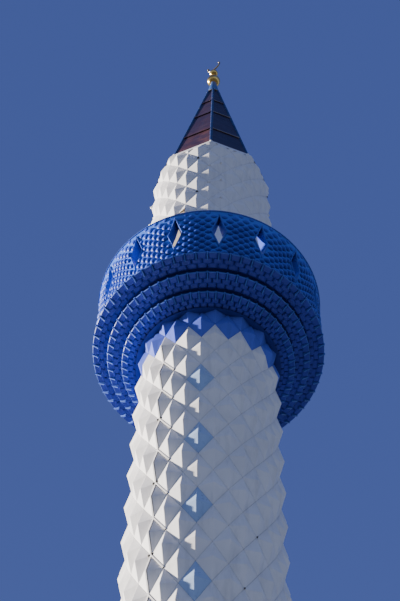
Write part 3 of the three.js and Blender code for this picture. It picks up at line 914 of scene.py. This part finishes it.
def build_relief():
    shape = Shape()
    pitch = 360 / CELLS
    for row in range(RELIEF_ROWS):
        height = RELIEF_FIRST + RELIEF_STEP * row
        offset = 0.5 if row % 2 == 0 else 0.0
        for cell in range(CELLS):
            azimuth = BALCONY_TURN + (cell + offset) * pitch
            share = lozenge_share(azimuth, height)
            if share >= RELIEF_CLEAR:
                relief_bump(shape, azimuth, height, relief_scale(row, share))
    make_piece("parapet_relief", shape, [panel_casting])


def walk(corners, count):
    """Evenly spread points along a closed outline, with the given count on each side."""
    points = []
    for here, there in around(corners):
        points += [blend(here, there, k / count) for k in range(count)]
    return points


def diamond_outline(half_width, half_height, count):
    """Turns and heights round a diamond, starting at its right tip."""
    outline = []
    for across, upward in walk(((1, 0), (0, 1), (-1, 0), (0, -1)), count):
        turn = math.degrees(half_width * across / PARAPET_WALL)
        outline.append((turn, LOZENGE_CENTRE + half_height * upward))
    return outline


def bay_outline(low, high, count):
    """The border of one bay of the parapet, with points that match a diamond's."""
    half = 180 / LOZENGES
    corners = (
        (half, 0), (half, 1), (0, 1), (-half, 1),
        (-half, 0), (-half, -1), (0, -1), (half, -1),
    )
    outline = []
    for turn, upward in walk(corners, count):
        reach = high - LOZENGE_CENTRE if upward > 0 else LOZENGE_CENTRE - low
        outline.append((turn, LOZENGE_CENTRE + upward * reach))
    return outline


def wall_face(shape, azimuth, depth, low, high):
    """One bay of a parapet face round its lozenge hole."""
    inner = diamond_outline(HOLE_HALF_WIDTH, HOLE_HALF_HEIGHT, 6)
    outer = bay_outline(low, high, 3)
    steps = 7
    rows = []
    for k in range(steps + 1):
        line = [blend(near, far, k / steps) for near, far in zip(inner, outer)]
        rows.append(outline_on_wall(line, azimuth, -depth))
    shape.grid(rows, closed=True)


def build_parapet_wall():
    shape = Shape()
    for azimuth in LOZENGE_AZIMUTHS:
        wall_face(shape, azimuth, 0.0, WALL_FOOT, COPING_FOOT + 0.01)
        wall_face(shape, azimuth, WALL_THICKNESS, BALCONY_FLOOR - 0.05, COPING_FOOT + 0.01)
    names = [f"parapet_panel_{i}" for i in range(1, 9)]
    make_piece("parapet_wall", shape, [wall_casting], replaces=names, merge=WELD)


def build_lozenge_frames():
    """Raised frames round the lozenge holes, with a lining through the wall."""
    shape = Shape()
    inside = -WALL_THICKNESS
    sections = (
        (FRAME_HALF_WIDTH + 0.006, FRAME_HALF_HEIGHT + 0.03, -0.01),
        (FRAME_HALF_WIDTH, FRAME_HALF_HEIGHT, 0.030),
        (HOLE_HALF_WIDTH + 0.008, HOLE_HALF_HEIGHT + 0.035, 0.035),
        (HOLE_HALF_WIDTH, HOLE_HALF_HEIGHT, 0.024),
        (HOLE_HALF_WIDTH, HOLE_HALF_HEIGHT, inside - 0.006),
        (FRAME_HALF_WIDTH, FRAME_HALF_HEIGHT * 0.93, inside - 0.006),
        (FRAME_HALF_WIDTH, FRAME_HALF_HEIGHT * 0.93, inside + 0.02),
    )
    for azimuth in LOZENGE_AZIMUTHS:
        rows = [
            outline_on_wall(diamond_outline(half_width, half_height, 4), azimuth, lift)
            for half_width, half_height, lift in sections
        ]
        # The frame's face, in the lighter casting: painted highlight.
        shape.grid(rows[:4], 1, closed=True)
        shape.grid(rows[3:], closed=True)
    make_piece("lozenge_frames", shape, [panel_casting, edge_highlight_casting], flat=True)


def build_coping():
    shape = Shape()
    outer = wall_radius(PARAPET_TOP) + 0.012
    inner = PARAPET_WALL - WALL_THICKNESS - 0.012
    profile = [
        (inner, COPING_FOOT), (inner, PARAPET_TOP - 0.012), (inner + 0.012, PARAPET_TOP),
        (outer - 0.016, PARAPET_TOP), (outer - 0.005, PARAPET_TOP - 0.004), (outer, PARAPET_TOP - 0.012),
        (outer, PARAPET_TOP - 0.026), (outer - 0.022, COPING_FOOT), (inner, COPING_FOOT),
    ]
    lathe(shape, profile, 128, turn=BALCONY_TURN)
    # The coping, in the lighter casting: painted highlight.
    make_piece("balcony_coping", shape, [edge_highlight_casting],
               replaces=["parapet_coping"], merge=WELD)


# The spire

LAP_HEIGHTS = (EAVE + 0.004, BLUE_LINE + 8.500, BLUE_LINE + 10.030, BLUE_LINE + 11.170)
RIDGE_ROLL = 0.029
# The faces towards the sun, whose laps keep the sheet's colour; laps on the other faces are lighter, a
# painted highlight.
SUNWARD_LAPS = (3, 4, 5, 6)
# A lap's section: distance out from the face, and rise over the sheet's lower edge
LAP_LINE = ((0.018, 0.050), (0.030, 0.040), (0.032, 0.006), (0.018, -0.004))
# The eave strip's section: distance out from the face, rise over the eave, and share of its tears
EAVE_LINE = ((0.010, 0.075, 0), (0.036, 0.022, 0), (0.040, 0.004, 0), (0.032, -0.016, 1))
SCREWS = 8
FIRST_SCREW = EAVE + 0.45
SCREW_STEP = 0.60


def spire_radius(height):
    slope = (EAVE_RADIUS - CAP_RADIUS) / (CAP_FOOT - EAVE)
    return EAVE_RADIUS + slope * (EAVE - height)


def spire_sheet_material():
    """Dark sheet: navy, with a red brown bloom in patches, strongest on the lowest course and left off the
    faces turned from the sun: partly weathering, partly a painted sunlit tone.
    """
    nodes = Nodes("spire_sheet")
    navy = nodes.tones(nodes.noise(1.1, 5), (0.010, 0.007, 0.030), (0.026, 0.014, 0.036), 0.35, 0.68)
    rust = nodes.tones(nodes.noise(5, 5), (0.062, 0.022, 0.030), (0.150, 0.062, 0.055))
    # Keeps the bloom off the faces that look away from the sun, along +X: a painted sunlit tone.
    sunlit_side_and_weather = nodes.span(nodes.facing("X"), 1.0, 0.0, 0.35, 0.75)
    height = nodes.axis(nodes.place(), "Z")
    low_down = nodes.span(height, 1.0, 0.30, LAP_HEIGHTS[1] - 0.1, LAP_HEIGHTS[1] + 0.3)
    patches = nodes.span(nodes.noise(2.4, 5), 0.35, 1.0, 0.35, 0.6)
    # The bloom's share: weathered patches, strongest low down, except on the faces that look away from the
    # sun.
    worn = nodes.product(nodes.product(sunlit_side_and_weather, low_down), patches)
    streaks = nodes.span(nodes.noise(11, 5, (1, 1, 0.06)), 0.0, 0.6, 0.45, 0.75)
    nodes.colour(nodes.mix(streaks, nodes.mix(worn, navy, rust), (0.030, 0.024, 0.050)))
    nodes.rough(5, 0.34, 0.52, detail=4)
    nodes.height((nodes.noise(2.5, 2), 0.012), (nodes.noise(40, 2), 0.0006))
    nodes.shade("Specular IOR Level", 0.25)
    return nodes.owner


def spire_corner(index, height, extra=0.0):
    return polar(spire_radius(height) + extra, SPIRE_TURN + FACE_TURN * index, height)


def face_line(index, height, extra, count):
    """Points across one face of the spire at one height."""
    left = spire_corner(index, height, extra)
    right = spire_corner(index + 1, height, extra)
    return [left.lerp(right, k / count) for k in range(count + 1)]


def add_lap(shape, index, height):
    """The wavy folded edge where a sheet laps over the one below: in the sheet's colour on the faces towards
    the sun, and lighter on the others, a painted highlight.
    """
    steps = 10
    rows = []
    for extra, rise in LAP_LINE:
        left = spire_corner(index, height + rise, extra)
        right = spire_corner(index + 1, height + rise, extra)
        line = []
        for k in range(steps + 1):
            share = 0.04 + 0.92 * k / steps
            wave = 0.004 * math.sin(2.1 * k + index)
            line.append(left.lerp(right, share) + Vector((0, 0, wave)))
        rows.append(line)
    shape.grid(rows, 0 if index in SUNWARD_LAPS else 1)


def build_spire_sheets(sheet, lap_highlight):
    shape = Shape()
    levels = list(LAP_HEIGHTS) + [CAP_FOOT + 0.01]
    for i in range(SPIRE_FACES):
        for low, high in zip(levels, levels[1:]):
            lap = high + 0.05 if high < CAP_FOOT else high
            edges = ((low, 0.002), (low, 0.016), (lap, 0.004))
            shape.grid([face_line(i, height, extra, 4) for height, extra in edges])
            if low > EAVE + 0.1:
                add_lap(shape, i, low)
    make_piece("spire_sheets", shape, [sheet, lap_highlight], True, ["spire_shell"])


def roll_section(centre):
    """The round cap over a ridge, open towards the spire."""
    out = outward(centre)
    side = Vector((0, 0, 1)).cross(out)
    section = []
    for k in range(9):
        angle = math.pi * (k / 8 - 0.5) * 1.25
        reach = out * (RIDGE_ROLL * math.cos(angle))
        section.append(centre + reach + side * (RIDGE_ROLL * math.sin(angle)))
    return section


def build_ridge_rolls(ridge):
    shape = Shape()
    steps = 12
    for i in range(SPIRE_FACES):
        heights = [EAVE + 0.01 + (CAP_FOOT - EAVE - 0.01) * k / steps for k in range(steps + 1)]
        rows = [roll_section(spire_corner(i, height)) for height in heights]
        shape.grid(rows)
        shape.patch(rows[0][::-1])
    make_piece("spire_ridge_rolls", shape, [ridge])


def build_spire_screws(zinc):
    """A few dull screws along the ridge rolls and a bright stop at the foot of each."""
    shape = Shape()
    for i in range(SPIRE_FACES):
        for k in range(SCREWS):
            centre = spire_corner(i, FIRST_SCREW + k * SCREW_STEP)
            out = outward(centre)
            side = Vector((0, 0, 1)).cross(out)
            for way in (-1, 1):
                normal = (out * 0.75 + side * way).normalized()
                place = centre + normal * (RIDGE_ROLL - 0.002)
                dome(shape, place, normal, 0.010, 0.007, sides=6, levels=2)
        foot = spire_corner(i, EAVE + 0.035, 0.006)
        dome(shape, foot, outward(foot), 0.034, 0.040, 1)
    make_piece("spire_screws", shape, [zinc, stud_white])


def build_eave():
    """The worn strip that closes the joint under the spire, with a torn lower edge."""
    shape = Shape()
    steps = 14
    for i in range(SPIRE_FACES):
        rows = [[], [], [], []]
        for k in range(steps + 1):
            tear = random.uniform(-0.014, 0.020)
            for row, (extra, rise, torn) in zip(rows, EAVE_LINE):
                row.append(face_line(i, EAVE + rise - tear * torn, extra, steps)[k])
        shape.grid(rows)
    make_piece("eave_strip", shape, [raw_edge], True, ["eave_flashing"])


# The finial

# The cap's outline: radius, and rise over its foot
CAP_LINE = (
    (0.001, -0.02), (CAP_RADIUS + 0.004, -0.02), (CAP_RADIUS + 0.012, 0.004),
    (CAP_RADIUS + 0.012, 0.022), (CAP_RADIUS, 0.040), (0.128, 0.16),
    (0.108, 0.34), (0.088, 0.50), (0.074, 0.62),
)
# The dark ring under the cap: a painted shadow.
JOINT_LINE = ((0.08, -0.080), (0.176, -0.080), (0.166, -0.018), (0.08, -0.018))
NECK_RADIUS = 0.027
NECK_BEAD_RADIUS = 0.040
HORN_START = 158
HORN_SWEEP = 224
HORN_HALF_DEPTH = 0.018


def build_cap():
    sheet = mottled("cap_sheet", (0.030, 0.085, 0.25), (0.06, 0.14, 0.36), (5, 4), (20, 0.25, 0.42),
                    (30, 2, 0.0008))
    shape = Shape()
    profile = [(radius, CAP_FOOT + rise) for radius, rise in CAP_LINE]
    profile += [(CAP_TOP_RADIUS, CAP_TOP - 0.01), (CAP_TOP_RADIUS - 0.012, CAP_TOP), (0.001, CAP_TOP)]
    lathe(shape, profile, 48)
    lathe(shape, [(radius, CAP_FOOT + rise) for radius, rise in JOINT_LINE], 48, 1)
    make_piece("cap", shape, [sheet, shadow_strip_dark], replaces=["spire_cap"], merge=WELD)


def ball(radius, centre, low, high, steps):
    """The outline of a ball between two angles from its waist."""
    points = []
    for i in range(steps + 1):
        angle = low + (high - low) * i / steps
        points.append((radius * math.cos(angle), centre + radius * math.sin(angle)))
    return points


def build_finial():
    gold = mottled("gilding", (0.62, 0.37, 0.09), (0.95, 0.68, 0.22), (9, 4), (25, 0.14, 0.32),
                   (30, 2, 0.0006), metallic=1.0)
    shape = Shape()
    foot = math.acos(FINIAL_FOOT_RADIUS / BALL_RADIUS)
    neck = math.acos(BALL_NECK_RADIUS / BALL_RADIUS)
    small_neck = math.acos(BALL_NECK_RADIUS / SMALL_BALL_RADIUS)
    neck_low = BALL_CENTRE + BALL_RADIUS * math.sin(neck)
    neck_high = SMALL_BALL_CENTRE - SMALL_BALL_RADIUS * math.sin(small_neck)
    bead = (neck_low + neck_high) / 2
    profile = [(0.001, CAP_TOP - 0.004), (0.064, CAP_TOP - 0.004), (0.064, CAP_TOP + 0.008)]
    profile += ball(BALL_RADIUS, BALL_CENTRE, -foot, neck, 14)
    profile += [(NECK_RADIUS, neck_low + 0.03), (NECK_RADIUS, bead - 0.02), (NECK_BEAD_RADIUS, bead)]
    profile += [(NECK_RADIUS, bead + 0.02), (NECK_RADIUS, neck_high - 0.02)]
    profile += ball(SMALL_BALL_RADIUS, SMALL_BALL_CENTRE, -small_neck, small_neck, 12)
    profile += [(STEM_RADIUS, SMALL_BALL_CENTRE + 0.118), (STEM_RADIUS, STEM_TOP), (0.001, STEM_TOP + 0.006)]
    lathe(shape, profile, 40)
    make_piece("finial", shape, [gold], replaces=["finial_stem"], merge=WELD)


def horn_section(share):
    """A flattened ring round the crescent's arc, thin at both tips."""
    angle = math.radians(HORN_START + HORN_SWEEP * share)
    thick = 0.012 + 0.013 * math.sin(math.pi * share) ** 0.7
    middle = Vector((math.cos(angle), 0, math.sin(angle))) * (CRESCENT_RADIUS - thick)
    out = middle.normalized()
    centre = Vector((0, 0, STEM_TOP + CRESCENT_RADIUS))
    section = []
    for k in range(10):
        turn = 2 * math.pi * k / 10
        place = middle + out * thick * math.cos(turn) + Vector((0, HORN_HALF_DEPTH * math.sin(turn), 0))
        section.append(place + centre)
    return section


def build_crescent():
    shape = Shape()
    steps = 28
    rows = [horn_section(i / steps) for i in range(steps + 1)]
    shape.grid(rows, closed=True)
    shape.patch(rows[0][::-1])
    shape.patch(rows[-1])
    for row in (rows[0], rows[-1]):
        tip = sum(row, Vector()) / len(row)
        for way in (1, -1):
            dome(shape, tip, Vector((0, way, 0)), 0.026, 0.026)
    brass = plain_noise("dull_brass", (0.20, 0.15, 0.08), (0.46, 0.38, 0.24), 14, 0.35, 0.0005, 0.7)
    make_piece("crescent_horns", shape, [brass], replaces=["crescent"])


# Materials of the CAD nodes that stay, and the pieces at the foot of the tower


def masonry(name, dark, light, depth):
    nodes = Nodes(name)
    base = nodes.tones(nodes.noise(1.6, 5), dark, light)
    damp = nodes.span(nodes.noise(4, 5, (1, 1, 0.15)), 0.0, 0.35, 0.52, 0.8)
    nodes.colour(nodes.mix(damp, base, scaled(dark, 0.6)))
    nodes.rough(30, 0.8, 0.95)
    nodes.height((nodes.noise(8, 5), depth * 2), (nodes.noise(120, 3), depth * 0.4))
    return nodes.owner


def stained_timber():
    nodes = Nodes("stained_timber")
    grain = nodes.noise(6, 6, (14, 14, 0.5))
    nodes.colour(nodes.tones(grain, (0.075, 0.038, 0.02), (0.19, 0.105, 0.055)))
    nodes.shade("Roughness", nodes.span(grain, 0.42, 0.62))
    nodes.height((grain, 0.0012))
    return nodes.owner


def finish_cad_nodes():
    plaster = masonry("lime_render", (0.50, 0.48, 0.44), (0.66, 0.64, 0.60), 0.003)
    concrete = masonry("concrete", (0.28, 0.27, 0.25), (0.44, 0.42, 0.39), 0.004)
    core = masonry("tan_core", (0.40, 0.33, 0.24), (0.56, 0.48, 0.36), 0.006)
    walls = [f"plinth_wall_{part}" for part in ("left", "right", "back")]
    groups = (
        (concrete, ["base_slab", "shaft_core", "balcony_slab"]),
        (core, ["upper_core"]),
        (plaster, walls + ["plinth_lintel", "plinth_course"]),
        (stained_timber(), ["entrance_frame", "entrance_door", "balcony_door_frame", "balcony_door"]),
    )
    for material, names in groups:
        for name in names:
            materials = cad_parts[name].data.materials
            materials.clear()
            materials.append(material)


# Studio

PHOTO_HEIGHT = 601
FOCAL_LENGTH = 1621
SENSOR = 36
CAMERA_PLACE = (8.847, -11.206, 1.364)
CAMERA_YAW = -0.68
CAMERA_PITCH = 60.53
CAMERA_ROLL = 1.66
CAMERA_SIDE = 38.29
SUN_AZIMUTH = -154
SUN_RISE = 14
SUN_STRENGTH = 16.0
# The surround's colours from straight down at 0 to straight up at 1
SKY_STOPS = (
    (0.0, (0.10, 0.10, 0.11)), (0.47, (0.13, 0.14, 0.17)), (0.52, (0.48, 0.58, 0.80)),
    (0.70, (0.20, 0.30, 0.62)), (0.85, (0.075, 0.115, 0.37)), (1.0, (0.060, 0.095, 0.33)),
)


def camera_axes():
    """The camera's right, up and back directions, from its turns in degrees."""
    yaw = math.radians(CAMERA_YAW)
    pitch = math.radians(CAMERA_PITCH)
    roll = math.radians(CAMERA_ROLL)
    level = math.cos(pitch)
    forward = Vector((level * math.sin(yaw), level * math.cos(yaw), math.sin(pitch)))
    level_right = Vector((math.cos(yaw), -math.sin(yaw), 0))
    level_up = level_right.cross(forward)
    right = level_right * math.cos(roll) + level_up * math.sin(roll)
    up = level_up * math.cos(roll) - level_right * math.sin(roll)
    turn = Matrix.Rotation(math.radians(CAMERA_SIDE), 3, "Z")
    return Matrix((turn @ right, turn @ up, -(turn @ forward))).transposed()


def build_camera():
    """The photograph's viewing angle: a steep look up from near the ground."""
    camera_data = bpy.data.cameras.new("camera")
    camera_data.sensor_width = SENSOR
    camera_data.lens = SENSOR * FOCAL_LENGTH / PHOTO_HEIGHT
    camera_data.clip_end = 400
    camera = add_object("camera", camera_data)
    camera.matrix_world = Matrix.Translation(CAMERA_PLACE) @ camera_axes().to_4x4()
    bpy.context.scene.camera = camera


def build_floor():
    nodes = Nodes("pale_floor")
    nodes.colour(nodes.tones(nodes.noise(0.3, 2), (0.46, 0.45, 0.44), (0.50, 0.49, 0.48)))
    nodes.shade("Roughness", 0.9)
    shape = Shape()
    lathe(shape, [(0.01, -0.002), (6, -0.002), (12, -0.002)], 64)
    mesh = shape.to_mesh("floor")
    mesh.materials.append(nodes.owner)
    floor = add_object("floor", mesh)


def build_world():
    """A soft blue surround, paler at the horizon and dim below it."""
    nodes = Nodes("studio", bpy.data.worlds)
    height = nodes.span(nodes.axis(nodes.place("Generated"), "Z"), 0.0, 1.0, -1.0, 1.0)
    nodes.put(nodes.tree.nodes["Background"].inputs["Color"], nodes.ramp(height, SKY_STOPS))
    bpy.context.scene.world = nodes.owner


def build_key():
    """The low sun, from the photograph's left and a little beyond the tower."""
    key_data = bpy.data.lights.new("key", "SUN")
    key_data.energy = SUN_STRENGTH
    key_data.angle = math.radians(2)
    key_data.color = (1.0, 0.93, 0.85)
    key = add_object("key", key_data)
    rise = math.radians(SUN_RISE)
    towards = polar(math.cos(rise), SUN_AZIMUTH, math.sin(rise))
    key.rotation_mode = "QUATERNION"
    key.rotation_quaternion = towards.to_track_quat("Z", "Y")


spire_sheet = spire_sheet_material()
ridge_sheet = mottled("ridge_roll", (0.010, 0.028, 0.11), (0.022, 0.058, 0.19), (6, 4), (18, 0.35, 0.55),
                      (30, 2, 0.001), metallic=0.4)
# Lighter grey for the laps on the faces away from the sun: a painted highlight.
lap_highlight_sheet = plain_noise("lap_highlight", (0.10, 0.085, 0.11), (0.34, 0.32, 0.36), 6, 0.42, 0.001, 0.3)
zinc = plain_noise("dull_zinc", (0.10, 0.11, 0.14), (0.22, 0.23, 0.26), 30, 0.5, 0.0003)

build_lower_cladding()
build_upper_cladding()
build_seams()
build_bolts()
build_rivets()
build_corbels()
build_parapet_wall()
build_relief()
build_lozenge_frames()
build_coping()
build_spire_sheets(spire_sheet, lap_highlight_sheet)
build_ridge_rolls(ridge_sheet)
build_spire_screws(zinc)
build_eave()
build_cap()
build_finial()
build_crescent()
finish_cad_nodes()
build_camera()
build_floor()
build_world()
build_key()
